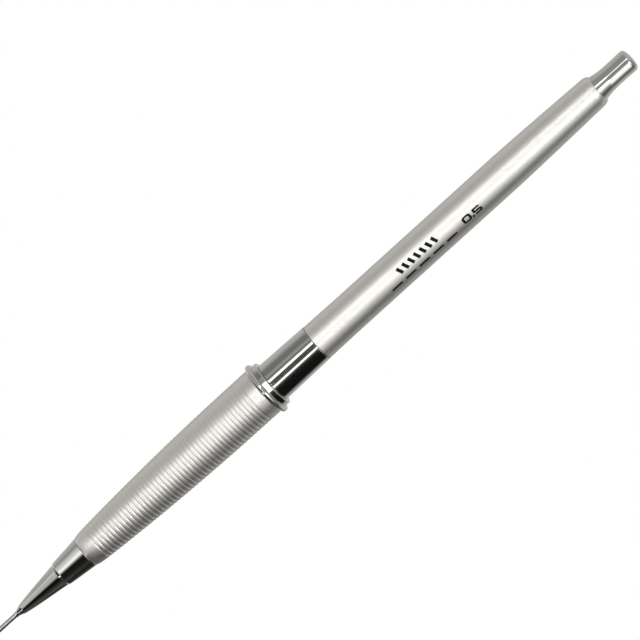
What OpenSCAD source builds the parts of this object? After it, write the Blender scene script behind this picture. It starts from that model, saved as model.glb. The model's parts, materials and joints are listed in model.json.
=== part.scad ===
// Mechanical pencil for 0.5 mm lead, lying along +X, from tip to push button.
// The origin is on the pencil's axis, at the mouth of the guide pipe. +Z is up.
// The casing, the lead, the lead tube and the eraser are turned about that axis. The chuck's jaws are
// thirds of a turned shape, the spare leads lie beside the axis, and the return spring is a coil round it.

/* [Lead] */
// Diameter of the lead
lead_d = 0.56; // [0.5:0.01:0.56]
// Length of a new lead
lead_len = 60; // [50:1:60]
// How far the lead stands out of the guide pipe
lead_out = 0.6; // [0.2:0.1:1.5]
// Number of spare leads in the lead tube
spare_count = 4; // [1:1:5]

/* [Guide pipe and nose cone] */
// Outer diameter of the guide pipe
pipe_d = 0.84; // [0.8:0.02:0.86]
// Length of guide pipe in front of the nose cone
pipe_out = 4.1; // [4:0.1:4.6]
// Diameter of the nose cone at its front fillet
cone_front_d = 1.74; // [1.6:0.02:1.8]
// Diameter of the nose cone where its narrow part ends
cone_mid_d = 4.29; // [4.24:0.01:4.36]
// Diameter of the nose cone's shoulder
cone_shoulder_d = 5.02; // [4.96:0.02:5.2]
// Diameter of the nose cone where it meets the grip
cone_rear_d = 5.84; // [5.7:0.02:5.86]
// Length of the nose cone's thread
thread_len = 6; // [5:0.1:6]

/* [Grip] */
// Where the grip starts, measured from the guide pipe's mouth
grip_x = 20.55; // [20.5:0.05:20.65]
// Length of the grip
grip_len = 41.3; // [41.1:0.05:41.4]
// Greatest diameter of the grip
grip_d = 8.96; // [8.8:0.02:9.1]
// Number of fine grooves round the grip
groove_count = 47; // [30:1:47]
// Distance from one groove to the next
groove_pitch = 0.79; // [0.7:0.01:0.79]
// Depth of a groove
groove_depth = 0.06; // [0.05:0.01:0.2]

/* [Bead ring, collar and coupling] */
// Outer diameter of the bead ring
bead_d = 10.14; // [9.8:0.02:10.3]
// Diameter of the bead ring's rounded edge
bead_edge_d = 1; // [0.9:0.05:1]
// Outer diameter of the collar
collar_d = 8.76; // [8.6:0.02:8.9]
// Length of the collar
collar_len = 1; // [0.9:0.05:1.2]
// Diameter of the coupling beside the collar
coupling_front_d = 7.32; // [7.2:0.02:7.4]
// Diameter of the coupling beside the barrel
coupling_rear_d = 6.96; // [6.9:0.02:7.1]
// Length of coupling between the collar and the barrel
coupling_len = 10.1; // [9.5:0.05:10.5]

/* [Barrel] */
// Outer diameter of the barrel's straight part
barrel_d = 6.68; // [6.6:0.02:6.8]
// Length of the barrel
barrel_len = 63.65; // [63:0.05:64.5]
// Length of the taper at the barrel's rear end
barrel_taper_len = 20.7; // [18:0.1:22]
// Diameter of the barrel at the end of the taper
barrel_end_d = 5.84; // [5.8:0.02:6]
// Bore of the barrel's mouth, in which the push button slides
mouth_d = 5.2; // [5.1:0.02:5.2]

/* [Push button] */
// Smallest outer diameter of the push button
button_d = 4.08; // [4.06:0.02:4.3]
// Diameter of the push button's skirt inside the barrel
skirt_d = 5.06; // [4.9:0.02:5.06]
// Length of the push button outside the barrel
button_out = 7.75; // [7.5:0.05:8.5]
// Travel of the push button
knock = 3.3; // [2.5:0.1:3.3]

/* [Clutch] */
// Travel of the chuck ring, which is the lead fed by one click
ring_travel = 0.6; // [0.4:0.05:0.7]
// Angle that each chuck jaw opens by
jaw_open = 1.8; // [1:0.1:1.8]
// Outer diameter of the lead tube
tube_d = 3.5; // [3.3:0.02:3.5]
// Wall of the lead tube
tube_wall = 0.37; // [0.3:0.01:0.4]
// Wire of the return spring
spring_wire_d = 0.3; // [0.25:0.01:0.35]
// Turns of the return spring
spring_turns = 9; // [6:1:12]

/* [Hidden] */

fine = 96;
play = 0.05;
joint_gap = 0.03;
// How far a cut runs past the faces it opens
over = 1;
// How far one cut or solid runs into the next, so that no skin is left between them
join = 0.01;

// Lead
lead_r = lead_d / 2;
lead_bore_r = lead_r + 0.02;

// Guide pipe and nose cone
pipe_r = pipe_d / 2;
pipe_end_x = pipe_out + 3.3;
cone_tip_r = pipe_r + 0.05;
fillet_x = pipe_out + 1.45;
retainer_x = 9.2;
retainer_len = 3;
retainer_r = 0.95;
cone_bulge = 0.06;
channel_r = 0.8;
cone_step_x = 14.45;
step_end_x = 14.97;
step_slope = 0.15;
step_rise = 0.08;
shoulder_x = 16.59;
cone_end_x = grip_x - joint_gap;
thread_end_x = cone_end_x + thread_len;
thread_r = 2.4;
thread_pitch = 0.5;
thread_depth = 0.12;
thread_relief = 0.6;

// Chuck: the jaws turn about hinge_x, and their heads sit in the conical bore of the ring
hinge_x = 27;
head_x = 17.5;
head_len = 2.9;
head_front_r = 1.4;
head_rear_r = 1.05;
head_nose_len = 0.7;
head_nose_r = 0.9;
leg_r = 0.9;
head_slope = (head_front_r - head_rear_r) / head_len;
jaw_bore_r = lead_r + 0.01;
leg_bore_r = 0.36;
jaw_grip_len = 2.4;
slit = 0.24;
stem_r = 1.05;
ring_x = 17.6;
ring_len = 2.8;
ring_r = 1.8;
cone_fit = 0.02;
ring_bore_r = ring_r + play;
stop_x = ring_x - ring_travel - 0.05;

// Room for the open jaws when the push button is pressed
room_gap = 0.06;
jaw_room_x = head_x - head_nose_len - knock - 0.4;
jaw_room_front_r = 1.3;
jaw_room_r = head_front_r + (hinge_x - head_x) * tan(jaw_open) + room_gap;
jaw_room_taper = 0.9;

// Chuck sleeve, clamped between the nose cone and a shoulder in the grip
sleeve_x = ring_x + ring_len + play;
flange_x = thread_end_x + joint_gap;
flange_len = 1.2;
flange_r = 2.4;
sleeve_r = 2.25;
sleeve_end_x = 44;
sleeve_hole_r = 1.2;
spring_room_r = 1.85;
spring_seat_x = flange_x + 0.85;

// Return spring, adapter and lead tube
adapter_x = 38;
spring_x = spring_seat_x + 0.02;
spring_len = adapter_x - 0.02 - spring_x;
spring_r = 1.47;
adapter_collar_len = 3;
stem_end_x = adapter_x + 4;
tube_x = adapter_x + adapter_collar_len;
adapter_end_x = tube_x + 5;
funnel_x = stem_end_x + 0.3;
funnel_rim = 0.2;
tube_r = tube_d / 2;
tube_bore_r = tube_r - tube_wall;
spare_x = adapter_end_x + 1;
spare_gap = 0.15;

// Grip
grip_end_x = grip_x + grip_len;
grip_peak_x = 57.7;
grip_belly = 0.00096;
grip_nose_round = 0.22;
grip_nose_len = 0.98;
grip_thread_r = thread_r + play;
grip_shoulder_x = flange_x + flange_len + joint_gap;
grip_bore_r = sleeve_r + play;
spigot_len = 7;
spigot_x = grip_end_x - spigot_len;
spigot_r = 3.15;
groove_x = 23.26;
groove_w = 0.2;
groove_edge = 0.1;
grip_edge = 0.15;

// Bead ring, collar and coupling
bead_edge_r = bead_edge_d / 2;
bead_r = bead_d / 2 - bead_edge_r;
bead_x = grip_end_x + bead_edge_r;
bead_web = 0.9;
collar_x = bead_x + bead_web / 2 + joint_gap;
collar_r = collar_d / 2;
collar_edge = 0.06;
collar_lip = 0.12;
lip_drop = 0.14;
coupling_x = collar_x + collar_len + joint_gap;
coupling_end_x = coupling_x + coupling_len;
coupling_bore_r = 2.2;
rear_edge = 0.05;
rear_spigot_r = 2.85;
rear_spigot_len = 6.5;

// Barrel
barrel_x = coupling_end_x + 0.06;
barrel_end_x = barrel_x + barrel_len;
barrel_r = barrel_d / 2;
barrel_bore_r = rear_spigot_r + play;
barrel_swell = 0.08;
barrel_swell_len = 12;
barrel_edge = 0.08;
taper_x = barrel_end_x - barrel_taper_len;
taper_power = 1.25;
barrel_end_r = barrel_end_d / 2;
barrel_round = 1.1;
barrel_lip = 0.06;
mouth_r = mouth_d / 2;
mouth_len = 12;

// Push button, which presses on the rear end of the lead tube
button_r = button_d / 2;
skirt_r = skirt_d / 2;
skirt_x = barrel_end_x - 5.4;
button_end_x = barrel_end_x + button_out;
flare_inset = 0.3;
flare_len = 4.6;
flare_power = 3;
button_lip = 0.04;
button_round = 0.75;
button_dome = 0.18;
button_bore_r = tube_r + 0.04;
button_wall = 1.1;
tube_end_x = button_end_x - 3.6;

// Eraser, pin holder and cleaning pin, in the rear end of the lead tube
eraser_r = tube_bore_r - 0.02;
eraser_end_x = button_end_x - button_wall - 0.4;
eraser_len = 16;
eraser_x = eraser_end_x - eraser_len;
pin_r = 0.18;
pin_len = 32;
pin_in_eraser = 2.5;
pin_x = eraser_x + pin_in_eraser - pin_len;
eraser_gap = 0.1;
holder_len = 0.8;
holder_r = eraser_r - 0.08;

// Turns a profile, given as [radius, distance along the pencil] points, about the X axis
module turned(points) {
    rotate([0, 90, 0]) rotate_extrude(convexity = 8, $fn = fine) polygon(points);
}

// A plain rod or hole between two places along the pencil
module rod(x0, x1, r) {
    translate([x0, 0, 0]) rotate([0, 90, 0]) cylinder(h = x1 - x0, r = r, $fn = fine);
}

// A conical rod or hole
module taper(x0, x1, r0, r1) {
    translate([x0, 0, 0]) rotate([0, 90, 0]) cylinder(h = x1 - x0, r1 = r0, r2 = r1, $fn = fine);
}

// A hump that is 0 at 0 and 1, and peaks at 1 a third of the way between them
function hump(t) = 6.75 * t * pow(1 - t, 2);

// Points of a quarter wave between two [radius, x] points, which leaves the first along the pencil
function ease(a, b, n = 6) = [
    for (i = [0 : n])
        let (t = i / n) [a[0] + (b[0] - a[0]) * (1 - cos(90 * t)), a[1] + (b[1] - a[1]) * t]
];

// Points of an arc about a [radius, x] centre, with angles measured from +X towards larger radius
function arc(c, r, a0, a1, n = 6) = [
    for (i = [0 : n])
        let (a = a0 + (a1 - a0) * i / n) [c[0] + r * sin(a), c[1] + r * cos(a)]
];

// Points of shallow thread ridges from x0 to x1, with crests at radius r
function ridges(x0, x1, r) = [
    for (i = [0 : floor((x1 - x0) / thread_pitch) - 1])
        let (x = x0 + i * thread_pitch)
            for (p = [[r - thread_depth, x], [r, x + thread_pitch * 0.4], [r, x + thread_pitch * 0.6]]) p
];

// Radius of the grip's smooth outline at x
function grip_r(x) =
    grip_d / 2
    - grip_belly * pow(grip_peak_x - x, 2)
    - grip_nose_round * exp((grip_x - x) / grip_nose_len);

// Radius of the barrel's outline at x, which swells a little towards its front end
function barrel_outer_r(x) =
    barrel_r + barrel_swell * pow(max(0, 1 - (x - barrel_x) / barrel_swell_len), 2);

module lead() {
    color([0.16, 0.16, 0.17]) rod(-lead_out, lead_len - lead_out, lead_r);
}

module guide_pipe() {
    color([0.72, 0.73, 0.72]) difference() {
        rod(0, pipe_end_x, pipe_r);
        rod(-over, pipe_end_x + over, lead_bore_r);
    }
}

module nose_cone() {
    front_r = cone_front_d / 2;
    mid_r = cone_mid_d / 2;
    step_len = step_end_x - cone_step_x;
    outline = concat(
        [[0, pipe_out]],
        ease([cone_tip_r, pipe_out], [front_r, fillet_x]),
        [for (i = [1 : 8]) let (t = i / 8)
            [front_r + (mid_r - front_r) * t + cone_bulge * hump(t),
             fillet_x + (cone_step_x - fillet_x) * t]],
        [for (i = [1 : 7]) let (t = i / 8)
            [mid_r + step_slope * step_len * t + step_rise * t * t * (3 - 2 * t),
             cone_step_x + step_len * t]],
        [[mid_r + step_slope * step_len + step_rise, step_end_x], [cone_shoulder_d / 2, shoulder_x],
         [cone_rear_d / 2, cone_end_x], [thread_r - thread_depth, cone_end_x]],
        ridges(cone_end_x + thread_relief, thread_end_x, thread_r),
        [[thread_r - thread_depth, thread_end_x], [0, thread_end_x]]
    );
    color([0.78, 0.78, 0.77]) difference() {
        turned(outline);
        rod(pipe_out - over, pipe_end_x, pipe_r);
        rod(pipe_end_x - over, retainer_x + over, lead_bore_r);
        rod(retainer_x, retainer_x + retainer_len, retainer_r);
        rod(retainer_x + retainer_len - join, jaw_room_x + join, channel_r);
        taper(jaw_room_x, jaw_room_x + jaw_room_taper, jaw_room_front_r, jaw_room_r);
        rod(jaw_room_x + jaw_room_taper - join, stop_x + over, jaw_room_r);
        rod(stop_x, thread_end_x + over, ring_bore_r);
    }
}

module lead_retainer() {
    color([0.13, 0.13, 0.13]) difference() {
        rod(retainer_x, retainer_x + retainer_len, retainer_r);
        rod(retainer_x - over, retainer_x + retainer_len + over, jaw_bore_r);
    }
}

module grip() {
    half = groove_w / 2;
    grooves = [
        for (i = [0 : groove_count - 1])
            let (x = groove_x + i * groove_pitch)
                for (p = [[0, -half - groove_edge], [1, -half], [1, half], [0, half + groove_edge]])
                    [grip_r(x + p[1]) - p[0] * groove_depth, x + p[1]]
    ];
    front_len = groove_x - half - groove_edge - grip_x;
    front = [for (i = [0 : 5]) let (x = grip_x + front_len * i / 6) [grip_r(x), x]];
    rear_r = grip_r(grip_end_x);
    outline = concat(
        [[0, grip_x]], front, grooves,
        [[rear_r, grip_end_x - grip_edge], [rear_r - grip_edge, grip_end_x], [0, grip_end_x]]
    );
    color([0.68, 0.67, 0.63]) difference() {
        turned(outline);
        rod(grip_x - over, grip_shoulder_x, grip_thread_r);
        rod(grip_x, grip_end_x, grip_bore_r);
        rod(spigot_x - joint_gap, grip_end_x + over, spigot_r + play);
    }
}

module bead_ring() {
    color([0.8, 0.8, 0.79]) difference() {
        union() {
            rotate([0, 90, 0]) rotate_extrude(convexity = 4, $fn = fine)
                translate([bead_r, bead_x]) circle(r = bead_edge_r, $fn = fine);
            rod(bead_x - bead_web / 2, bead_x + bead_web / 2, bead_r - join);
        }
        rod(bead_x - over, bead_x + over, spigot_r + play);
    }
}

module collar() {
    lip_x = collar_x + collar_len - collar_lip;
    outline = [
        [0, collar_x], [collar_r - collar_edge, collar_x], [collar_r, collar_x + collar_edge],
        [collar_r, lip_x], [collar_r - lip_drop, collar_x + collar_len], [0, collar_x + collar_len]
    ];
    color([0.8, 0.8, 0.79]) difference() {
        turned(outline);
        rod(collar_x - over, collar_x + collar_len + over, spigot_r + play);
    }
}

module coupling() {
    front_r = coupling_front_d / 2;
    rear_r = coupling_rear_d / 2;
    // Plain length of each spigot beside its shoulder
    land = 1;
    outline = concat(
        [[0, spigot_x], [spigot_r - thread_depth, spigot_x]],
        ridges(spigot_x + 0.1, bead_x - land, spigot_r),
        [[spigot_r, bead_x - land + 0.1], [spigot_r, coupling_x], [front_r, coupling_x],
         [rear_r, coupling_end_x - rear_edge], [rear_r - rear_edge, coupling_end_x],
         [rear_spigot_r, coupling_end_x], [rear_spigot_r, coupling_end_x + land]],
        ridges(coupling_end_x + land + 0.1, coupling_end_x + rear_spigot_len, rear_spigot_r),
        [[0, coupling_end_x + rear_spigot_len]]
    );
    color([0.78, 0.78, 0.77]) difference() {
        turned(outline);
        rod(spigot_x - over, coupling_end_x + rear_spigot_len + over, coupling_bore_r);
    }
}

module barrel() {
    round_x = barrel_end_x - barrel_round;
    outline = concat(
        [[0, barrel_x], [barrel_outer_r(barrel_x) - barrel_edge, barrel_x]],
        [for (i = [0 : 6]) let (x = barrel_x + barrel_edge + (barrel_swell_len - barrel_edge) * i / 6)
            [barrel_outer_r(x), x]],
        [for (i = [0 : 7]) let (t = i / 8)
            [barrel_r + (barrel_end_r - barrel_r) * pow(t, taper_power),
             taper_x + (round_x - taper_x) * t]],
        ease([barrel_end_r, round_x], [mouth_r + barrel_lip, barrel_end_x]),
        [[0, barrel_end_x]]
    );
    color([0.68, 0.67, 0.63]) difference() {
        turned(outline);
        rod(barrel_x - over, barrel_end_x - mouth_len, barrel_bore_r);
        rod(barrel_x, barrel_end_x + over, mouth_r);
    }
}

module push_button() {
    flare_x = barrel_end_x - flare_inset;
    rise_x = button_end_x - button_round - button_dome;
    crown_r = button_r + button_lip - button_round * 0.8;
    outline = concat(
        [[0, skirt_x], [skirt_r, skirt_x], [skirt_r, flare_x]],
        [for (i = [1 : 10]) let (t = i / 10)
            [button_r + (skirt_r - button_r) * pow(1 - t, flare_power), flare_x + flare_len * t]],
        [[button_r, rise_x - 2]],
        arc([button_r + button_lip - button_round, rise_x], button_round, 90, 15),
        [for (i = [1 : 4]) let (t = 1 - i / 4)
            [crown_r * t, button_end_x - button_dome * t * t]]
    );
    color([0.78, 0.78, 0.77]) difference() {
        turned(outline);
        rod(skirt_x - over, tube_end_x + joint_gap, button_bore_r);
        rod(skirt_x, button_end_x - button_wall, eraser_r + eraser_gap);
    }
}

// One of the three jaws of the chuck, from its hinge line to its gripping head, turned to its place
module jaw(turn) {
    sector_x = head_x - head_nose_len - over;
    sector_y = slit / 2 / sin(60);
    wide = 4;
    rotate([turn, 0, 0]) intersection() {
        difference() {
            union() {
                taper(head_x - head_nose_len, head_x, head_nose_r, head_front_r);
                taper(head_x, head_x + head_len, head_front_r, head_rear_r);
                rod(head_x + head_len, hinge_x - joint_gap, leg_r);
            }
            rod(sector_x, head_x + jaw_grip_len, jaw_bore_r);
            rod(head_x + jaw_grip_len - join, hinge_x + over, leg_bore_r);
        }
        // A third of the circle about +Z, less half a slit on each side
        translate([sector_x, 0, 0]) rotate([90, 0, 90]) linear_extrude(hinge_x - sector_x)
            polygon([[0, sector_y], [wide, sector_y + wide / tan(60)], [wide, 2 * wide],
                     [-wide, 2 * wide], [-wide, sector_y + wide / tan(60)]]);
    }
}

module chuck_jaw_1() {
    color([0.83, 0.68, 0.36]) jaw(0);
}

module chuck_jaw_2() {
    color([0.83, 0.68, 0.36]) jaw(120);
}

module chuck_jaw_3() {
    color([0.83, 0.68, 0.36]) jaw(240);
}

module chuck_stem() {
    color([0.83, 0.68, 0.36]) difference() {
        rod(hinge_x, stem_end_x, stem_r);
        rod(hinge_x - over, stem_end_x + over, leg_bore_r);
    }
}

module chuck_ring() {
    bore_front_r = head_rear_r + (head_x + head_len - ring_x) * head_slope + cone_fit;
    bore_rear_r = bore_front_r - ring_len * head_slope;
    color([0.86, 0.74, 0.45]) difference() {
        rod(ring_x, ring_x + ring_len, ring_r);
        taper(ring_x, ring_x + ring_len, bore_front_r, bore_rear_r);
    }
}

module chuck_sleeve() {
    color([0.8, 0.65, 0.34]) difference() {
        union() {
            rod(sleeve_x, flange_x + join, ring_r);
            rod(flange_x, flange_x + flange_len, flange_r);
            rod(flange_x, sleeve_end_x, sleeve_r);
        }
        rod(sleeve_x - over, spring_seat_x + over, sleeve_hole_r);
        rod(spring_seat_x, sleeve_end_x + over, spring_room_r);
    }
}

// Distance along the spring, from its front end, of the wire's centre after a number of turns:
// one close turn at each end, and an even pitch between them
function coil_x(turn) =
    let (close = spring_wire_d * 1.05, wide = (spring_len - spring_wire_d - 2 * close) / (spring_turns - 2))
        spring_wire_d / 2
        + close * min(turn, 1)
        + wide * min(max(turn - 1, 0), spring_turns - 2)
        + close * max(turn - spring_turns + 1, 0);

module return_spring() {
    steps = 18;
    sides = 8;
    last = spring_turns * steps;
    points = [
        for (i = [0 : last])
            for (k = [0 : sides - 1])
                let (
                    turn = i / steps,
                    side = 360 * k / sides,
                    r = spring_r + spring_wire_d / 2 * cos(side)
                )
                    [spring_x + coil_x(turn) + spring_wire_d / 2 * sin(side),
                     r * cos(360 * turn), r * sin(360 * turn)]
    ];
    sweep = [
        for (i = [0 : last - 1])
            for (k = [0 : sides - 1])
                let (
                    a = i * sides + k,
                    b = i * sides + (k + 1) % sides
                )
                    for (face = [[a, b, a + sides], [b, b + sides, a + sides]]) face
    ];
    ends = [
        [for (k = [0 : sides - 1]) sides - 1 - k],
        [for (k = [0 : sides - 1]) last * sides + k]
    ];
    color([0.6, 0.61, 0.63]) polyhedron(points = points, faces = concat(sweep, ends), convexity = 20);
}

module tube_adapter() {
    color([0.9, 0.9, 0.86]) difference() {
        union() {
            rod(adapter_x, tube_x, tube_r);
            rod(adapter_x, adapter_end_x, tube_bore_r);
        }
        rod(adapter_x - over, stem_end_x, stem_r);
        rod(adapter_x, funnel_x + join, leg_bore_r);
        taper(funnel_x, adapter_end_x + join, leg_bore_r, tube_bore_r - funnel_rim);
    }
}

module lead_tube() {
    color([0.82, 0.83, 0.82]) difference() {
        rod(tube_x, tube_end_x, tube_r);
        rod(tube_x - over, tube_end_x + over, tube_bore_r);
    }
}

module spare_leads() {
    ring = tube_bore_r - lead_r - spare_gap;
    color([0.16, 0.16, 0.17]) for (i = [0 : spare_count - 1])
        rotate([360 * i / spare_count + 45, 0, 0]) translate([0, 0, ring])
            rod(spare_x, spare_x + lead_len, lead_r);
}

module eraser() {
    color([0.93, 0.93, 0.9]) difference() {
        rod(eraser_x, eraser_end_x, eraser_r);
        rod(eraser_x - over, eraser_x + pin_in_eraser, pin_r);
    }
}

module pin_holder() {
    color([0.86, 0.74, 0.45]) difference() {
        rod(eraser_x - holder_len, eraser_x, holder_r);
        rod(eraser_x - holder_len - over, eraser_x + over, pin_r);
    }
}

module cleaning_pin() {
    color([0.6, 0.61, 0.63]) rod(pin_x, eraser_x + pin_in_eraser, pin_r);
}

lead();
guide_pipe();
nose_cone();
lead_retainer();
grip();
bead_ring();
collar();
coupling();
barrel();
push_button();
chuck_jaw_1();
chuck_jaw_2();
chuck_jaw_3();
chuck_stem();
chuck_ring();
chuck_sleeve();
return_spring();
tube_adapter();
lead_tube();
spare_leads();
eraser();
pin_holder();
cleaning_pin();
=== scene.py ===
"""Looks of a mechanical pencil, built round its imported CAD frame.

The pencil lies along +X, from its tip to its push button. An outline is a list of points, each a distance
along the axis and a radius, in millimetres. Meshes are in metres. Angles round the axis go from +Z to -Y."""

import json
import math

import bmesh
import bpy
from mathutils import Matrix, Vector


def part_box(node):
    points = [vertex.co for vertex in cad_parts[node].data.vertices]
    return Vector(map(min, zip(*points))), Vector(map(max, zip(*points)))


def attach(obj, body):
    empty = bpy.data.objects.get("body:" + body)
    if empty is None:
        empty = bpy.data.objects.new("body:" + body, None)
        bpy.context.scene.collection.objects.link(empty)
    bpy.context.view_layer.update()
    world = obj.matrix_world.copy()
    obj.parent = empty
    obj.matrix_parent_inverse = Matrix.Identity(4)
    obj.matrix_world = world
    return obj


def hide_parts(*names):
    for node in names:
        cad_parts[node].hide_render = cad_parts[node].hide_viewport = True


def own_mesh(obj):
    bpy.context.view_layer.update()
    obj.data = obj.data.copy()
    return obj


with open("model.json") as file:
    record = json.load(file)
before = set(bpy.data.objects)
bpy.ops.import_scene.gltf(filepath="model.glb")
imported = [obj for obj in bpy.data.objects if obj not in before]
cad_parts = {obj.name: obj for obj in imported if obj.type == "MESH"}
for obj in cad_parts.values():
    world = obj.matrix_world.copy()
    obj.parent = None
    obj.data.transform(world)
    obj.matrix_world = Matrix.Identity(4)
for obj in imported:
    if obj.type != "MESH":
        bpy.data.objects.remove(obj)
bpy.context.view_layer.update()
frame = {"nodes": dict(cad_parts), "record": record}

MM = 0.001
# Sides of a turned mesh, for the casing and for small pieces
SIDES = 144
SMALL_SIDES = 64
# Distance in millimetres from a rounded corner to the point that keeps the next face's shading flat
GUARD = 0.03

record = frame["record"]
BODY_OF = {node: body for body, nodes in record["behaviour"]["bodies"].items() for node in nodes}
SLOT_OF = {part["node"]: part["material_slot"] for part in record["subparts"]}


def span(node):
    """Start, end and radius of a CAD node, in millimetres."""
    low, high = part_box(node)
    return low.x / MM, high.x / MM, high.z / MM


# ---------------------------------------------------------------- outlines


def rounded(corners, closed=True, steps=5):
    """Points of a polyline. A corner given as (x, r, radius) is rounded, with a guard point on each side.
    Other points, and rows of a thread, stay as they are."""
    points = []
    count = len(corners)
    for i, corner in enumerate(corners):
        if len(corner) != 3:
            points.append(corner)
            continue
        here = Vector(corner[:2])
        back = Vector(corners[i - 1][:2]) - here
        ahead = Vector(corners[(i + 1) % count][:2]) - here
        half = back.angle(ahead) / 2
        reach = min(corner[2] / math.tan(half), 0.42 * back.length, 0.42 * ahead.length)
        back_way, ahead_way = back.normalized(), ahead.normalized()
        start, end = here + back_way * reach, here + ahead_way * reach
        centre = here + (back_way + ahead_way).normalized() * reach / math.cos(half)
        turn = math.pi - 2 * half
        points.append(tuple(start + back_way * min(GUARD, 0.05 * back.length)))
        for k in range(steps + 1):
            near, far = turn * (1 - k / steps), turn * k / steps
            spoke = ((start - centre) * math.sin(near) + (end - centre) * math.sin(far)) / math.sin(turn)
            points.append(tuple(centre + spoke))
        points.append(tuple(end + ahead_way * min(GUARD, 0.05 * ahead.length)))
    return points


def curve(x0, x1, radius_at, steps):
    """Points of a smooth outline whose radius is a function of the share of the way from x0 to x1."""
    return [(x0 + (x1 - x0) * i / steps, radius_at(i / steps)) for i in range(steps + 1)]


def thread(x0, x1, r, pitch, depth, rows=8):
    """Rows of a screw thread with its root at radius r, as (x, r, rise, pitch). An inside thread has a
    negative depth. The thread fades out over one pitch at each end."""
    count = round(abs(x1 - x0) / pitch * rows)
    points = []
    for i in range(count + 1):
        fade = min(1, i / rows, (count - i) / rows)
        points.append((x0 + (x1 - x0) * i / count, r, depth * fade, pitch))
    return points


# ---------------------------------------------------------------- meshes


def finish_mesh(name, vertices, faces):
    """A closed mesh, in metres, with its normals outwards and smooth shading."""
    mesh = bpy.data.meshes.new(name)
    mesh.from_pydata([tuple(c * MM for c in v) for v in vertices], [], faces)
    work = bmesh.new()
    work.from_mesh(mesh)
    bmesh.ops.recalc_face_normals(work, faces=work.faces)
    work.to_mesh(mesh)
    work.free()
    mesh.shade_smooth()
    return mesh


def turned(name, outline, sides=SIDES):
    """The outline turned about the X axis. It is a closed loop, or runs from the axis back to the axis.
    A row of a thread rises and falls once round the axis, and its pitch sets where it is highest."""
    vertices, rows = [], []
    for point in outline:
        x, r = point[:2]
        if r == 0:
            rows.append([len(vertices)] * sides)
            vertices.append((x, 0, 0))
            continue
        rows.append(list(range(len(vertices), len(vertices) + sides)))
        for k in range(sides):
            turn = k / sides
            here = r
            if len(point) > 2:
                here += point[2] * (0.5 - 0.5 * math.cos(2 * math.pi * (x / point[3] + turn)))
            vertices.append((x, -here * math.sin(2 * math.pi * turn), here * math.cos(2 * math.pi * turn)))
    loop_open = outline[0][1] == 0 and outline[-1][1] == 0
    pairs = list(zip(rows, rows[1:] if loop_open else rows[1:] + rows[:1]))
    faces = []
    for a, b in pairs:
        for k in range(sides):
            n = (k + 1) % sides
            face = list(dict.fromkeys((a[k], a[n], b[n], b[k])))
            if len(face) > 2:
                faces.append(face)
    return finish_mesh(name, vertices, faces)


def stand_in(node, mesh, material):
    """Shows a mesh in place of a CAD node, riding on that node's body."""
    piece = bpy.data.objects.new(node + "_finished", mesh)
    bpy.context.scene.collection.objects.link(piece)
    mesh.materials.append(material)
    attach(piece, BODY_OF[node])
    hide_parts(node)
    return piece


# ---------------------------------------------------------------- materials


class Shader:
    """A node material built on one Principled BSDF, with coordinates in millimetres."""

    def __init__(self, name, metallic, base=None):
        self.material = bpy.data.materials.new(name)
        self.material.use_nodes = True
        self.tree = self.material.node_tree
        self.bsdf = self.tree.nodes["Principled BSDF"]
        self.bsdf.inputs["Metallic"].default_value = metallic
        if base is not None:
            self.set("Base Color", (*base, 1))
        place = self.add("ShaderNodeTexCoord")
        self.mm = self.vector("SCALE", place.outputs["Object"], scale=1 / MM)

    def add(self, kind, **settings):
        made = self.tree.nodes.new(kind)
        for key, value in settings.items():
            setattr(made, key, value)
        return made

    def link(self, value, socket):
        """Puts a number, a colour or another node's output on a socket."""
        if isinstance(value, bpy.types.NodeSocket):
            self.tree.links.new(value, socket)
        else:
            socket.default_value = value

    def set(self, socket, value):
        self.link(value, self.bsdf.inputs[socket])

    def vector(self, operation, a, b=None, scale=None):
        made = self.add("ShaderNodeVectorMath", operation=operation)
        self.link(a, made.inputs[0])
        if b is not None:
            self.link(b, made.inputs[1])
        if scale is not None:
            made.inputs["Scale"].default_value = scale
        return made.outputs["Vector"]

    def noise(self, size, detail=2.0, stretch=(1, 1, 1)):
        """Noise from 0 to 1 whose features are about size millimetres, and longer along an axis whose
        stretch is small."""
        made = self.add("ShaderNodeTexNoise")
        self.link(self.vector("MULTIPLY", self.mm, stretch), made.inputs["Vector"])
        made.inputs["Scale"].default_value = 1 / size
        made.inputs["Detail"].default_value = detail
        return made.outputs["Fac"]

    def between(self, factor, low, high, start=0.3, end=0.7):
        """A number that goes from low to high as factor goes from start to end."""
        made = self.add("ShaderNodeMapRange")
        self.link(factor, made.inputs["Value"])
        for key, value in (("From Min", start), ("From Max", end), ("To Min", low), ("To Max", high)):
            made.inputs[key].default_value = value
        return made.outputs["Result"]

    def mix(self, factor, a, b):
        """A colour that goes from a to b as factor goes from 0 to 1."""
        made = self.add("ShaderNodeMix", data_type="RGBA")
        self.link(factor, made.inputs["Factor"])
        self.link((*a, 1), made.inputs["A"])
        self.link((*b, 1), made.inputs["B"])
        return made.outputs["Result"]

    def bump(self, height, depth, under=None):
        """A bump of depth millimetres, over another bump if one is given."""
        made = self.add("ShaderNodeBump")
        made.inputs["Distance"].default_value = depth * MM
        self.link(height, made.inputs["Height"])
        if under is not None:
            self.link(under, made.inputs["Normal"])
        self.set("Normal", made.outputs["Normal"])
        return made.outputs["Normal"]


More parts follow.
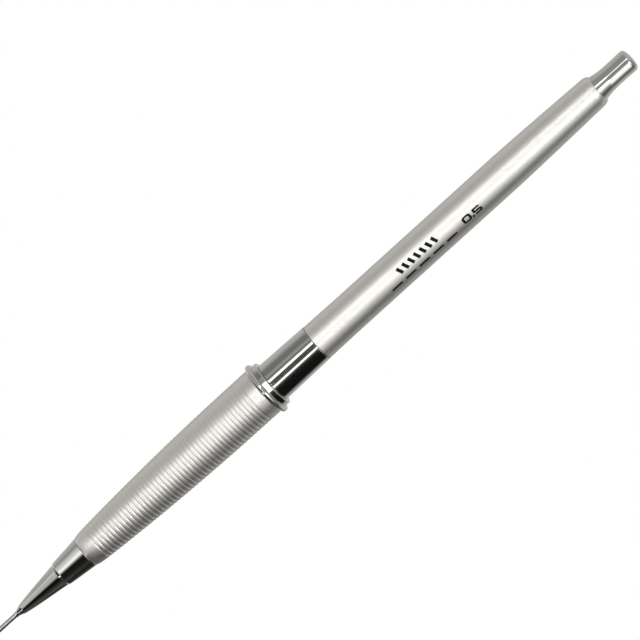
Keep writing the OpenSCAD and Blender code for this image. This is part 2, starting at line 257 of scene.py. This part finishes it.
def satin_aluminium(name, line_depth):
    """Fine blasted aluminium, with faint turning lines of the given depth."""
    base = (0.8, 0.79, 0.757)
    made = Shader(name, 1.0)
    grain = made.noise(0.06, detail=3)
    cloud = made.noise(2.5)
    # Dims what the metal mirrors at a slant
    made.set("Specular Tint", (0.6, 0.6, 0.6, 1))
    made.set("Base Color", made.mix(made.between(cloud, 0, 1), base, tuple(c * 0.975 for c in base)))
    made.set("Roughness", made.between(made.noise(0.9, detail=4), 0.37, 0.41))
    lines = made.noise(0.05, detail=1, stretch=(1, 0.02, 0.02))
    made.bump(lines, line_depth, under=made.bump(grain, 0.0002))
    return made.material


def polished_chrome():
    """Chrome plate with faint wipe marks and a few hair scratches."""
    made = Shader("polished_chrome", 1.0, (0.6, 0.6, 0.592))
    wipe = made.noise(0.5, detail=5, stretch=(0.25, 1, 1))
    made.set("Roughness", made.between(wipe, 0.02, 0.045))
    made.bump(made.noise(1.6, detail=2, stretch=(0.4, 1, 1)), 0.002)
    return made.material


def drawn_steel():
    """Stainless tube with drawing lines along its length."""
    made = Shader("drawn_steel", 1.0, (0.46, 0.46, 0.455))
    lines = made.noise(0.03, detail=2, stretch=(0.03, 1, 1))
    made.set("Roughness", made.between(lines, 0.1, 0.18))
    made.bump(lines, 0.00004)
    return made.material


def brass():
    """Turned brass, a little darker where it has dulled."""
    made = Shader("brass", 1.0)
    dull = made.between(made.noise(0.8, detail=3), 0, 1)
    made.set("Base Color", made.mix(dull, (0.8, 0.58, 0.26), (0.66, 0.46, 0.2)))
    made.set("Roughness", made.between(made.noise(0.4, detail=3), 0.2, 0.34))
    made.bump(made.noise(0.06, detail=1, stretch=(1, 0.03, 0.03)), 0.0015)
    return made.material


def spring_wire():
    """Bright steel wire of the return spring and the cleaning pin."""
    made = Shader("spring_wire", 1.0, (0.5, 0.51, 0.53))
    made.set("Roughness", made.between(made.noise(0.2, detail=3), 0.22, 0.38))
    made.bump(made.noise(0.05), 0.001)
    return made.material


def drawn_aluminium():
    """The lead tube: thin tube with lengthwise drawing lines."""
    made = Shader("drawn_aluminium", 1.0, (0.76, 0.77, 0.78))
    lines = made.noise(0.05, detail=2, stretch=(0.02, 1, 1))
    made.set("Roughness", made.between(lines, 0.25, 0.38))
    made.bump(lines, 0.001)
    return made.material


def graphite():
    """Lead: dark grey with a weak metallic shine and a fine grain."""
    made = Shader("graphite", 0.25)
    grain = made.noise(0.03, detail=3)
    made.set("Base Color", made.mix(made.between(grain, 0, 1), (0.04, 0.04, 0.043), (0.09, 0.09, 0.095)))
    made.set("Roughness", made.between(made.noise(0.15, detail=3), 0.3, 0.5))
    made.bump(grain, 0.0015)
    return made.material


def black_rubber():
    """Rubber of the lead retainer."""
    made = Shader("black_rubber", 0.0, (0.02, 0.02, 0.02))
    made.set("Roughness", made.between(made.noise(0.2, detail=3), 0.52, 0.7))
    made.bump(made.noise(0.08, detail=3), 0.004)
    return made.material


def white_plastic():
    """Moulded plastic of the tube adapter."""
    made = Shader("white_plastic", 0.0, (0.8, 0.8, 0.76))
    made.set("Roughness", made.between(made.noise(0.4, detail=3), 0.36, 0.5))
    made.set("Subsurface Weight", 0.15)
    made.bsdf.inputs["Subsurface Radius"].default_value = (0.0006, 0.0005, 0.0004)
    made.bump(made.noise(0.3, detail=2), 0.002)
    return made.material


def eraser_rubber():
    """Soft white eraser with a dusty grain and a little grey where lead has marked it."""
    made = Shader("eraser_rubber", 0.0)
    smudge = made.between(made.noise(0.9, detail=4), 0, 0.35, start=0.5, end=0.8)
    made.set("Base Color", made.mix(smudge, (0.84, 0.84, 0.81), (0.5, 0.5, 0.5)))
    made.set("Roughness", made.between(made.noise(0.1, detail=3), 0.75, 0.95))
    made.bump(made.noise(0.07, detail=4), 0.006)
    return made.material


def black_ink():
    """Printed ink, slightly uneven."""
    made = Shader("black_ink", 0.0, (0.012, 0.012, 0.012))
    made.set("Specular IOR Level", 0.12)
    made.set("Roughness", made.between(made.noise(0.1, detail=3), 0.72, 0.9))
    made.bump(made.noise(0.05, detail=3), 0.001)
    return made.material


CHROME = polished_chrome()
GRIP_METAL = satin_aluminium("grip_aluminium", 0.0001)
BARREL_METAL = satin_aluminium("barrel_aluminium", 0.00005)
PIPE_STEEL = drawn_steel()
BRASS = brass()
WIRE = spring_wire()
TUBE_METAL = drawn_aluminium()
GRAPHITE = graphite()
RUBBER = black_rubber()
PLASTIC = white_plastic()
ERASER = eraser_rubber()
INK = black_ink()


# ---------------------------------------------------------------- casing

THREAD_PITCH = 0.5
THREAD_DEPTH = 0.16
PLAY = 0.05
# Gap between two pieces that meet end to end
JOINT_GAP = 0.03
# The coupling's front spigot, and the bore of the two rings that sit on it
SPIGOT_R = 3.15
RING_BORE_R = 3.2
BARREL_R = 3.34


def hump(t):
    """0 at both ends, and 1 at its peak, a third of the way along."""
    return 6.75 * t * (1 - t) ** 2


def ease_late(a, b):
    """Radius from a to b, level at a and steeper towards b, as a function of the share of the way."""
    return lambda t: a + (b - a) * (1 - math.cos(math.pi / 2 * t))


def nose_cone():
    """Chromed cone: a fillet round the pipe, a slender cone, a small step, the shoulder that meets the grip,
    and the thread behind it."""
    start, end, shoulder_r = span("nose_cone")
    pipe_end, pipe_r = span("guide_pipe")[1:]
    retainer_start, retainer_end, retainer_r = span("lead_retainer")
    ring_start, _, ring_r = span("chuck_ring")
    tip_r = pipe_r + 0.05
    fillet_x, fillet_r = start + 1.45, 0.87
    bulge = 0.06
    step_x, step_r = start + 10.35, 2.145
    step_len, step_run, step_rise = 0.52, 0.058, 0.127
    step_end_x, step_end_r = step_x + step_len, step_r + step_run + step_rise
    shoulder_x, shoulder_front_r = start + 12.49, 2.51
    face_x = span("grip")[0] - JOINT_GAP
    thread_start, thread_end = face_x + 0.6, end - 0.2
    root_r = 2.4 - THREAD_DEPTH
    ring_room_x = ring_start - 0.65
    room_x, room_taper, room_front_r, room_r = 13.1, 0.9, 1.3, 1.76
    passage_r = 0.8
    bore_r = span("lead")[2] + 0.02

    def slender(t):
        return fillet_r + (step_r - fillet_r) * t + bulge * hump(t)

    def step(t):
        return step_r + step_run * t + step_rise * t * t * (3 - 2 * t)

    outer = (
        [(start, pipe_r), (start, tip_r, 0.02)]
        + curve(start + 0.1, fillet_x, ease_late(tip_r + 0.004, fillet_r), 12)
        + curve(fillet_x, step_x, slender, 28)[1:]
        + curve(step_x, step_end_x, step, 12)[1:-1]
        + [(step_end_x, step_end_r, 0.05), (shoulder_x, shoulder_front_r, 4.0)]
        + [(face_x, shoulder_r, 0.06), (face_x, root_r, 0.02)]
    )
    screw = thread(thread_start, thread_end, root_r, THREAD_PITCH, THREAD_DEPTH)
    rear = [(end, root_r, 0.05), (end, ring_r + PLAY, 0.05)]
    inner = [
        (ring_room_x, ring_r + PLAY, 0.02),
        (ring_room_x, room_r, 0.02),
        (room_x + room_taper, room_r),
        (room_x, room_front_r, 0.02),
        (room_x, passage_r, 0.02),
        (retainer_end, passage_r, 0.02),
        (retainer_end, retainer_r, 0.02),
        (retainer_start, retainer_r, 0.02),
        (retainer_start, bore_r, 0.02),
        (pipe_end, bore_r, 0.01),
        (pipe_end, pipe_r, 0.01),
    ]
    stand_in("nose_cone", turned("nose_cone", rounded(outer + screw + rear + inner)), CHROME)


def guide_pipe():
    """Thin steel pipe with a rounded mouth."""
    start, end, r = span("guide_pipe")
    bore = span("lead")[2] + 0.02
    outline = rounded([(start, bore, 0.03), (start, r, 0.06), (end, r, 0.01), (end, bore, 0.01)])
    stand_in("guide_pipe", turned("guide_pipe", outline, SMALL_SIDES), PIPE_STEEL)


def grip():
    """Slim aluminium grip that swells towards the rear, with fine grooves turned round it."""
    start, end, top_r = span("grip")
    peak_x, belly = 57.7, 0.00096
    nose_round, nose_len = 0.22, 0.98
    groove_x, groove_pitch, groove_count = start + 2.71, 0.79, 47
    groove_depth, groove_half, edge = 0.06, 0.1, 0.1

    def radius(x):
        """Radius of the grip between its grooves: a slow swell, drawn in a little at its front end."""
        return top_r - belly * (peak_x - x) ** 2 - nose_round * math.exp((start - x) / nose_len)

    first = groove_x - groove_half - edge
    front = [(x, radius(x)) for x in (start + 0.3 + (first - 0.3 - start) * i / 8 for i in range(8))]
    grooves = []
    for i in range(groove_count):
        x = groove_x + i * groove_pitch
        floor_r = radius(x) - groove_depth
        grooves += [
            (x - groove_half - edge, radius(x - groove_half - edge), 0.08),
            (x - groove_half, floor_r, 0.07),
            (x + groove_half, floor_r, 0.07),
            (x + groove_half + edge, radius(x + groove_half + edge), 0.08),
        ]
    last = groove_x + (groove_count - 1) * groove_pitch + groove_half + edge
    rear = [(x, radius(x)) for x in (last + (end - 0.3 - last) * i / 6 for i in range(1, 7))]
    sleeve_r, flange_r = 2.25, span("chuck_sleeve")[2]
    spigot_x = span("coupling")[0] - JOINT_GAP
    nose_end = span("nose_cone")[1]
    flange_seat_x = nose_end + 1.26
    bore = [
        (end, radius(end), 0.15),
        (end, SPIGOT_R + PLAY, 0.05),
        (spigot_x, SPIGOT_R + PLAY, 0.03),
        (spigot_x, sleeve_r + PLAY, 0.03),
        (flange_seat_x, sleeve_r + PLAY, 0.03),
        (flange_seat_x, flange_r + PLAY, 0.03),
        (nose_end, flange_r + PLAY),
    ]
    root_r = flange_r + PLAY + THREAD_DEPTH
    front_face = [(start, root_r + 0.1, 0.05), (start, radius(start), 0.08)]
    screw = thread(nose_end - 0.1, start + 0.4, root_r, THREAD_PITCH, -THREAD_DEPTH)
    outline = rounded(front_face + front + grooves + rear + bore + screw, steps=3)
    stand_in("grip", turned("grip", outline), GRIP_METAL)


def bead_ring():
    """Chromed ring with a round edge, clamped between the grip and the collar."""
    start, end, r = span("bead_ring")
    middle, edge = (start + end) / 2, (end - start) / 2
    web = 0.45
    reach = math.pi / 2 + math.acos(web / edge)
    bead = []
    steps = 36
    for i in range(steps + 1):
        a = reach - 2 * reach * i / steps
        bead.append((middle + edge * math.sin(-a), r - edge + edge * math.cos(a)))
    outline = rounded([(middle + web, RING_BORE_R, 0.05), (middle - web, RING_BORE_R, 0.05)] + bead)
    stand_in("bead_ring", turned("bead_ring", outline), CHROME)


def collar():
    """Chromed collar behind the bead ring, with a bevelled rear edge."""
    start, end, r = span("collar")
    bevel_len, bevel_drop = 0.12, 0.14
    outline = rounded([
        (start, RING_BORE_R, 0.05),
        (start, r, 0.06),
        (end - bevel_len, r, 0.03),
        (end, r - bevel_drop, 0.03),
        (end, RING_BORE_R, 0.05),
    ])
    stand_in("collar", turned("collar", outline), CHROME)


def coupling():
    """Chromed coupling: a spigot in the grip, the part that shows, and a spigot in the barrel."""
    start, end, front_r = span("coupling")
    front_x = span("collar")[1] + JOINT_GAP
    rear_x = span("barrel")[0] - 2 * JOINT_GAP
    rear_r, rear_spigot_r, bore = 3.48, 2.85, 2.2
    outline = rounded([
        (start, bore, 0.1),
        (start, SPIGOT_R, 0.1),
        (front_x, SPIGOT_R, 0.02),
        (front_x, front_r, 0.04),
        (rear_x, rear_r, 0.05),
        (rear_x, rear_spigot_r, 0.02),
        (end, rear_spigot_r, 0.1),
        (end, bore, 0.1),
    ])
    stand_in("coupling", turned("coupling", outline), CHROME)


def barrel():
    """Satin aluminium barrel: a slight swell in front, a straight middle and a taper to a rounded edge."""
    start, end = span("barrel")[:2]
    r, end_r, mouth_r = BARREL_R, 2.92, 2.6
    swell, swell_len = 0.08, 12
    taper_x, round_x = end - 20.7, end - 1.1
    bore_r, mouth_len = 2.9, 12
    near = 0.4 / swell_len
    outline = rounded(
        [(start, bore_r, 0.05), (start, r + swell, 0.07)]
        + curve(start + 0.4, start + swell_len, lambda t: r + swell * ((1 - near) * (1 - t)) ** 2, 16)
        + curve(taper_x, round_x, lambda t: r + (end_r - r) * t ** 1.25, 40)
        + curve(round_x, end - 0.03, ease_late(end_r, mouth_r + 0.06), 8)[1:]
        + [(end, mouth_r, 0.03), (end - mouth_len, mouth_r, 0.03), (end - mouth_len, bore_r, 0.03)]
    )
    stand_in("barrel", turned("barrel", outline), BARREL_METAL)


def push_button():
    """Chromed push button: a skirt inside the barrel, a short flare and a slightly crowned end."""
    start, end, skirt_r = span("push_button")
    mouth_x = span("barrel")[1]
    flare_x, flare_len = mouth_x - 0.3, 4.6
    r, lip, corner, dome = 2.04, 0.04, 0.75, 0.18
    rise_x = end - corner - dome
    tube_end, tube_r = span("lead_tube")[1:]
    tube_x, socket_r = tube_end + JOINT_GAP, tube_r + 0.04
    room_x, room_r = end - 1.1, span("eraser")[2] + 0.1
    crown_r = r + lip - corner * 0.8
    crown = [(end - dome * t * t, crown_r * t) for t in (1, 0.75, 0.5, 0.25, 0)]
    shoulder = []
    arc, steps = 75, 10
    for i in range(steps + 1):
        a = math.radians(90 - arc * i / steps)
        shoulder.append((rise_x + corner * math.cos(a), r + lip - corner + corner * math.sin(a)))
    outline = rounded(
        [(room_x, 0), (room_x, room_r, 0.1), (tube_x, room_r, 0.02), (tube_x, socket_r, 0.02)]
        + [(start, socket_r, 0.05), (start, skirt_r, 0.1), (flare_x - 0.2, skirt_r)]
        + curve(flare_x, flare_x + flare_len, lambda t: r + (skirt_r - r) * (1 - t) ** 3, 30)
        + [(rise_x - 2, r)]
        + shoulder
        + crown
    )
    stand_in("push_button", turned("push_button", outline), CHROME)


nose_cone()
guide_pipe()
grip()
bead_ring()
collar()
coupling()
barrel()
push_button()


# ---------------------------------------------------------------- inside


def plain_rod(node, material, edge=0.05, bore=0, sides=SMALL_SIDES):
    """A round piece with rounded edges and, if given, a bore right through it."""
    start, end, r = span(node)
    if bore:
        corners = [(start, bore, edge), (start, r, edge), (end, r, edge), (end, bore, edge)]
    else:
        corners = [(start, 0), (start, r, edge), (end, r, edge), (end, 0)]
    stand_in(node, turned(node, rounded(corners), sides), material)


plain_rod("lead", GRAPHITE, edge=0.08)
plain_rod("lead_retainer", RUBBER, edge=0.08, bore=span("lead")[2] + 0.01)
plain_rod("lead_tube", TUBE_METAL, edge=0.06, bore=span("eraser")[2] + 0.02, sides=96)
plain_rod("eraser", ERASER, edge=0.25, sides=96)
plain_rod("chuck_stem", BRASS, edge=0.08, bore=0.36)
plain_rod("pin_holder", BRASS, edge=0.08, bore=0.18)
plain_rod("cleaning_pin", WIRE, edge=0.06)


def carried_over():
    """Gives each CAD node that still shows its finish."""
    finishes = {"brass": BRASS, "white_plastic": PLASTIC, "graphite": GRAPHITE}
    for name, node in frame["nodes"].items():
        if not node.hide_render:
            node.data.materials.clear()
            node.data.materials.append(finishes[SLOT_OF[name]])


def return_spring():
    """Coil spring round the chuck's stem."""
    start, end, outer_r = span("return_spring")
    wire, turns, steps, sides = 0.15, 9, 40, 12
    r = outer_r - wire
    close = 2 * wire * 1.05
    wide = (end - start - 2 * wire - 2 * close) / (turns - 2)
    count = turns * steps
    vertices, faces = [], []
    for i in range(count + 1):
        turn = i / steps
        x = start + wire + close * min(turn, 1) + wide * min(max(turn - 1, 0), turns - 2)
        x += close * max(turn - turns + 1, 0)
        a = 2 * math.pi * turn
        for k in range(sides):
            b = 2 * math.pi * k / sides
            reach = r + wire * math.cos(b)
            vertices.append((x + wire * math.sin(b), reach * math.cos(a), reach * math.sin(a)))
    for i in range(count):
        for k in range(sides):
            n = (k + 1) % sides
            faces.append((i * sides + k, i * sides + n, (i + 1) * sides + n, (i + 1) * sides + k))
    faces.append(tuple(range(sides - 1, -1, -1)))
    faces.append(tuple(count * sides + k for k in range(sides)))
    piece = stand_in("return_spring", finish_mesh("return_spring", vertices, faces), WIRE)
    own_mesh(piece)


return_spring()
carried_over()


# ---------------------------------------------------------------- printing


def stroke(path, nib, closed=False):
    """Left and right edges of a printed stroke along a path of (along, round) points, in millimetres. The
    nib gives the width of an upright stroke and of a level one."""
    pairs = []
    count = len(path)
    for i, point in enumerate(path):
        here = Vector(point)
        before = here - Vector(path[i - 1]) if closed or i else Vector(path[1]) - here
        after = Vector(path[(i + 1) % count]) - here if closed or i < count - 1 else before
        way = (before.normalized() + after.normalized()).normalized()
        narrowing = max(way.dot(after.normalized()), 0.5)
        side = Vector((-way.y * nib[0], way.x * nib[1])) / 2 / narrowing
        pairs.append((here + side, here - side))
    return pairs


def dense(path, closed=False, step=0.12):
    """The same path with points no further apart than step, so that it bends round the barrel."""
    ends = path[1:] + path[:1] if closed else path[1:]
    points = []
    for a, b in zip(path, ends):
        count = max(1, math.ceil((Vector(b) - Vector(a)).length / step))
        points += [tuple(Vector(a).lerp(Vector(b), i / count)) for i in range(count)]
    return points if closed else points + [path[-1]]


def printing():
    """Black marks on the barrel: a row of plain bars, a broken rule under it and the lead size, 0.5."""
    ink_top, ink_root = BARREL_R + 0.008, BARREL_R - 0.03
    strokes = []

    def draw(path, nib, closed=False):
        strokes.append((stroke(dense(path, closed), nib, closed), closed))

    bars_x, bar_pitch, bar_count, bar_w = 92.68, 1.3, 7, 0.6
    bar_lean, bar_top, bar_foot = 0.5, -0.22, 1.0
    for i in range(bar_count):
        x = bars_x + i * bar_pitch
        draw([(x, bar_top), (x + bar_lean, bar_foot)], (bar_w, bar_w))

    rule_x, rule_round, rule_len, rule_gap, rule_count, rule_w = 89.7, 2.25, 2.3, 0.8, 5, 0.4
    for i in range(rule_count):
        x = rule_x + i * (rule_len + rule_gap)
        draw([(x, rule_round), (x + rule_len, rule_round)], (rule_w, rule_w))

    digit_w, low, high, pen = 1.32, 2.02, 1.02, (0.46, 0.32)
    zero_x, corner = 106.48, 0.26
    zero_sides = ((zero_x, low), (zero_x, high), (zero_x + digit_w, high), (zero_x + digit_w, low))
    draw(rounded([(*point, corner) for point in zero_sides]), pen, closed=True)
    point_x, point_w, point_half = zero_x + digit_w + 0.5, 0.46, 0.2
    draw([(point_x, low + point_half), (point_x, low - point_half)], (point_w, point_w))
    five_x = point_x + 0.5
    middle = (low + high) / 2 + 0.02
    five = rounded([
        (five_x + digit_w, high),
        (five_x, high, 0.02),
        (five_x, middle, 0.02),
        (five_x + digit_w, middle, 0.22),
        (five_x + digit_w, low, 0.22),
        (five_x, low),
    ], closed=False)
    draw(five, pen)

    vertices, faces = [], []
    for pairs, closed in strokes:
        first = len(vertices)
        for left, right in pairs:
            for (x, across), r in ((left, ink_top), (right, ink_top), (right, ink_root), (left, ink_root)):
                a = across / BARREL_R
                vertices.append((x, -r * math.sin(a), r * math.cos(a)))
        count = len(pairs)
        for i in range(count if closed else count - 1):
            near, far = first + 4 * i, first + 4 * ((i + 1) % count)
            for k in range(4):
                n = (k + 1) % 4
                faces.append((near + k, near + n, far + n, far + k))
        if not closed:
            faces.append(tuple(first + k for k in (3, 2, 1, 0)))
            faces.append(tuple(first + 4 * (count - 1) + k for k in range(4)))
    mesh = finish_mesh("barrel_print", vertices, faces)
    mesh.shade_flat()
    mesh.materials.append(INK)
    marks = bpy.data.objects.new("barrel_print", mesh)
    bpy.context.scene.collection.objects.link(marks)
    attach(marks, BODY_OF["barrel"])


printing()


# ---------------------------------------------------------------- studio


# The brightest light, where 1 is plain white, and the warm tint of what is darker than white
PEAK = 6.0
WALL_TINT = (1, 0.985, 0.945)


def strip(start, end, brightness, around, soft=2.5):
    """Stops of one bright strip from start to end degrees. It fades on both sides, over soft degrees, to the
    brightness round it."""
    return [(start - soft, around), (start, brightness), (end, brightness), (end + soft, around)]


# Light round the pencil, as sets of (degrees, brightness) stops. A set is named after what mostly mirrors it:
# the front and the rear of the cone, the grip's front, the guide pipe, the front, middle and rear of the
# casing, the button's flare behind it, and the button's end. Faces turned to the tip mirror the dark one.
FRONT_CONE = [
    (-180, 0.85), (-110, 0.85), (-95, 0.63), (-80, 0.56), (-65, 0.85), (-50, 0.86), (-40, 0.7), (-30, 0.63),
    (-18, 0.76), (-6, 0.42), (5, 0.06), (14, 0.005), (30, 0.005), (50, 0.03), (80, 0.1), (110, 0.07),
    (145, 0.4), (180, 0.7),
]
REAR_CONE = [
    (-180, 0.7), (-115, 0.7), (-95, 0.57), (-82, 0.46), (-65, 0.76), (-40, 1.0), (-28, 1.4), (-18, 1.6),
    (-8, 0.76), (3, 0.08), (12, 0.01), (50, 0.02), (80, 0.08), (95, 0.12), (115, 0.08), (145, 0.3),
    (180, 0.7),
]
GRIP = [
    (-180, 0.62), (-120, 0.62), (-100, 0.5), (-84, 0.38), (-60, 0.42), (-45, 0.7),
    *strip(-30, -8, 2.0, 1.0, soft=5),
    (6, 0.45), (16, 0.2), (40, 0.04), (110, 0.02), (140, 0.08), (165, 0.35), (180, 0.5),
]
GUIDE = [
    (-180, 0.62), (-90, 0.6), (-20, 0.78), (-8, 0.74), (8, 0.5), (30, 0.22), (60, 0.08), (100, 0.08),
    (140, 0.3), (180, 0.5),
]
FAR_WALL = [
    (-180, 0.62), (-120, 0.66), (-104, 0.54), (-95, 0.43), (-84, 0.27), (-60, 0.24), (-40, 0.5), (-36, 0.26),
]
NEAR_WALL = [(60, 0.01), (106, 0.01), (112, 0.08), (118, 0.18), (128, 0.46), (142, 0.58), (180, 0.62)]
FRONT = [*FAR_WALL, *strip(-22.5, 19.5, 5.5, 0.8), (26, 0.15), (34, 0.04), *NEAR_WALL]
MIDDLE = [
    *FAR_WALL, *strip(-21.5, -13, 2.6, 0.3), (-7, 0.1), (12, 0.1), *strip(18.5, 24.5, 2.6, 0.4),
    (33, 0.1), (40, 0.02), *NEAR_WALL,
]
REAR_FAR_WALL = [(-180, 0.64), (-97, 0.61), (-81, 0.47), (-70, 0.38), (-50, 0.37), (-35, 0.42)]
REAR_NEAR_WALL = [(95, 0.27), (106, 0.45), (116, 0.56), (128, 0.63), (180, 0.64)]
REAR = [
    *REAR_FAR_WALL, *strip(-25, -21, 2.0, 0.45), (-6, 0.32), (8, 0.38), (13, 0.7), (18, 1.5), (22, 1.7),
    (50, 1.6), (58, 1.1), (64, 0.62), (72, 0.3), (80, 0.17), (87, 0.16), *REAR_NEAR_WALL,
]
BEHIND = [
    *REAR_FAR_WALL, *strip(-26, -20, 4.0, 0.5), (9, 0.4), (15, 4.5), (26, 4.5), (32, 1.5), (42, 1.0),
    (52, 0.55), (62, 0.25), (75, 0.13), (87, 0.15), *REAR_NEAR_WALL,
]
END = [(-180, 0.6), (-30, 0.6), (30, 0.45), (80, 0.3), (140, 0.35), (180, 0.6)]
DARK = [
    (-180, 0.5), (-90, 0.45), (-50, 0.06), *strip(4, 15, 2.0, 0.05), (100, 0.05), (140, 0.2), (180, 0.4),
]
# Each set takes over from the one before, and the first of them from the dark one, as the X of a direction
# goes from the first number to the second.
BANDS = [
    (-0.61, -0.57, FRONT_CONE),
    (-0.433, -0.42, REAR_CONE),
    (-0.38, -0.34, GRIP),
    (-0.25, -0.24, GUIDE),
    (-0.2, -0.18, FRONT),
    (-0.135, -0.12, MIDDLE),
    (-0.0955, -0.0915, REAR),
    (0.0, 0.1, BEHIND),
    (0.5, 0.7, END),
]


def ramp(tree, value, stops):
    """A colour ramp over -180 to 180 degrees round the pencil, with brightness as a share of the peak."""
    made = tree.nodes.new("ShaderNodeValToRGB")
    tree.links.new(value, made.inputs["Fac"])
    elements = made.color_ramp.elements
    while len(elements) < len(stops):
        elements.new(0.5)
    for element, (degrees, brightness) in zip(elements, stops):
        element.position = degrees / 360 + 0.5
        tint = WALL_TINT if brightness < 1 else (1, 1, 1)
        element.color = (*(brightness / PEAK * c for c in tint), 1)
    return made.outputs["Color"]


def worked_out(tree, operation, *values):
    """The result of a maths node on numbers and other nodes' outputs."""
    made = tree.nodes.new("ShaderNodeMath")
    made.operation = operation
    for value, socket in zip(values, made.inputs):
        if isinstance(value, bpy.types.NodeSocket):
            tree.links.new(value, socket)
        else:
            socket.default_value = value
    return made.outputs[0]


def light():
    """Soft studio light: bright strips above the pencil, grey walls beside it and a dark gap on its near
    side. The pencil is lit by it, and the camera itself sees plain white."""
    world = bpy.data.worlds.new("studio")
    bpy.context.scene.world = world
    world.use_nodes = True
    tree = world.node_tree
    tree.nodes.clear()
    place = tree.nodes.new("ShaderNodeTexCoord")
    split = tree.nodes.new("ShaderNodeSeparateXYZ")
    tree.links.new(place.outputs["Generated"], split.inputs["Vector"])
    towards_near = worked_out(tree, "MULTIPLY", split.outputs["Y"], -1)
    angle = worked_out(tree, "ARCTAN2", towards_near, split.outputs["Z"])
    turn = worked_out(tree, "MULTIPLY_ADD", angle, 1 / (2 * math.pi), 0.5)
    bands = ramp(tree, turn, DARK)
    for low, high, stops in BANDS:
        lean = tree.nodes.new("ShaderNodeMapRange")
        lean.interpolation_type = "SMOOTHSTEP"
        tree.links.new(split.outputs["X"], lean.inputs["Value"])
        lean.inputs["From Min"].default_value = low
        lean.inputs["From Max"].default_value = high
        mix = tree.nodes.new("ShaderNodeMix")
        mix.data_type = "RGBA"
        tree.links.new(lean.outputs["Result"], mix.inputs["Factor"])
        tree.links.new(bands, mix.inputs["A"])
        tree.links.new(ramp(tree, turn, stops), mix.inputs["B"])
        bands = mix.outputs["Result"]
    glow = tree.nodes.new("ShaderNodeBackground")
    glow.inputs["Strength"].default_value = PEAK
    tree.links.new(bands, glow.inputs["Color"])
    white = tree.nodes.new("ShaderNodeBackground")
    white.inputs["Color"].default_value = (1, 1, 1, 1)
    sight = tree.nodes.new("ShaderNodeLightPath")
    choose = tree.nodes.new("ShaderNodeMixShader")
    tree.links.new(sight.outputs["Is Camera Ray"], choose.inputs["Fac"])
    tree.links.new(glow.outputs["Background"], choose.inputs[1])
    tree.links.new(white.outputs["Background"], choose.inputs[2])
    out = tree.nodes.new("ShaderNodeOutputWorld")
    tree.links.new(choose.outputs["Shader"], out.inputs["Surface"])


def floor():
    """A plain white floor just under the bead ring, clear from below. Only the camera sees it, and what the
    pencil mirrors of a floor is part of the studio light."""
    half, gap = 1.5, 0.0001
    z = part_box("bead_ring")[0].z - gap
    corners = [(-half, -half), (half, -half), (half, half), (-half, half)]
    mesh = bpy.data.meshes.new("floor")
    mesh.from_pydata([(x, y, z) for x, y in corners], [], [(0, 1, 2, 3)])
    material = bpy.data.materials.new("floor")
    material.use_nodes = True
    tree = material.node_tree
    tree.nodes.clear()
    out = tree.nodes.new("ShaderNodeOutputMaterial")
    white = tree.nodes.new("ShaderNodeEmission")
    clear = tree.nodes.new("ShaderNodeBsdfTransparent")
    side = tree.nodes.new("ShaderNodeNewGeometry")
    choose = tree.nodes.new("ShaderNodeMixShader")
    tree.links.new(side.outputs["Backfacing"], choose.inputs["Fac"])
    tree.links.new(white.outputs["Emission"], choose.inputs[1])
    tree.links.new(clear.outputs["BSDF"], choose.inputs[2])
    tree.links.new(choose.outputs["Shader"], out.inputs["Surface"])
    mesh.materials.append(material)
    plane = bpy.data.objects.new("floor", mesh)
    bpy.context.scene.collection.objects.link(plane)
    plane.visible_diffuse = False
    plane.visible_glossy = False
    plane.visible_transmission = False
    plane.visible_shadow = False


def camera():
    """Above the pencil, leaning a little towards the push button, and rolled so that the pencil runs from
    corner to corner."""
    target = Vector((0.07694, 0.00247, 0))
    distance = 0.822
    lean = math.radians(7.6)
    roll = math.radians(42.17)
    along = Vector((math.cos(lean), 0, -math.sin(lean)))
    across = Vector((0, 1, 0))
    back = Vector((math.sin(lean), 0, math.cos(lean)))
    right = along * math.cos(roll) - across * math.sin(roll)
    up = along * math.sin(roll) + across * math.cos(roll)
    data = bpy.data.cameras.new("camera")
    data.sensor_width = 36
    data.lens = 274.5
    data.clip_start = 0.01
    seen = bpy.data.objects.new("camera", data)
    bpy.context.scene.collection.objects.link(seen)
    turn = Matrix((right, up, back)).transposed().to_4x4()
    seen.matrix_world = Matrix.Translation(target + back * distance) @ turn
    bpy.context.scene.camera = seen


light()
floor()
camera()
bpy.context.scene.view_settings.view_transform = "Standard"
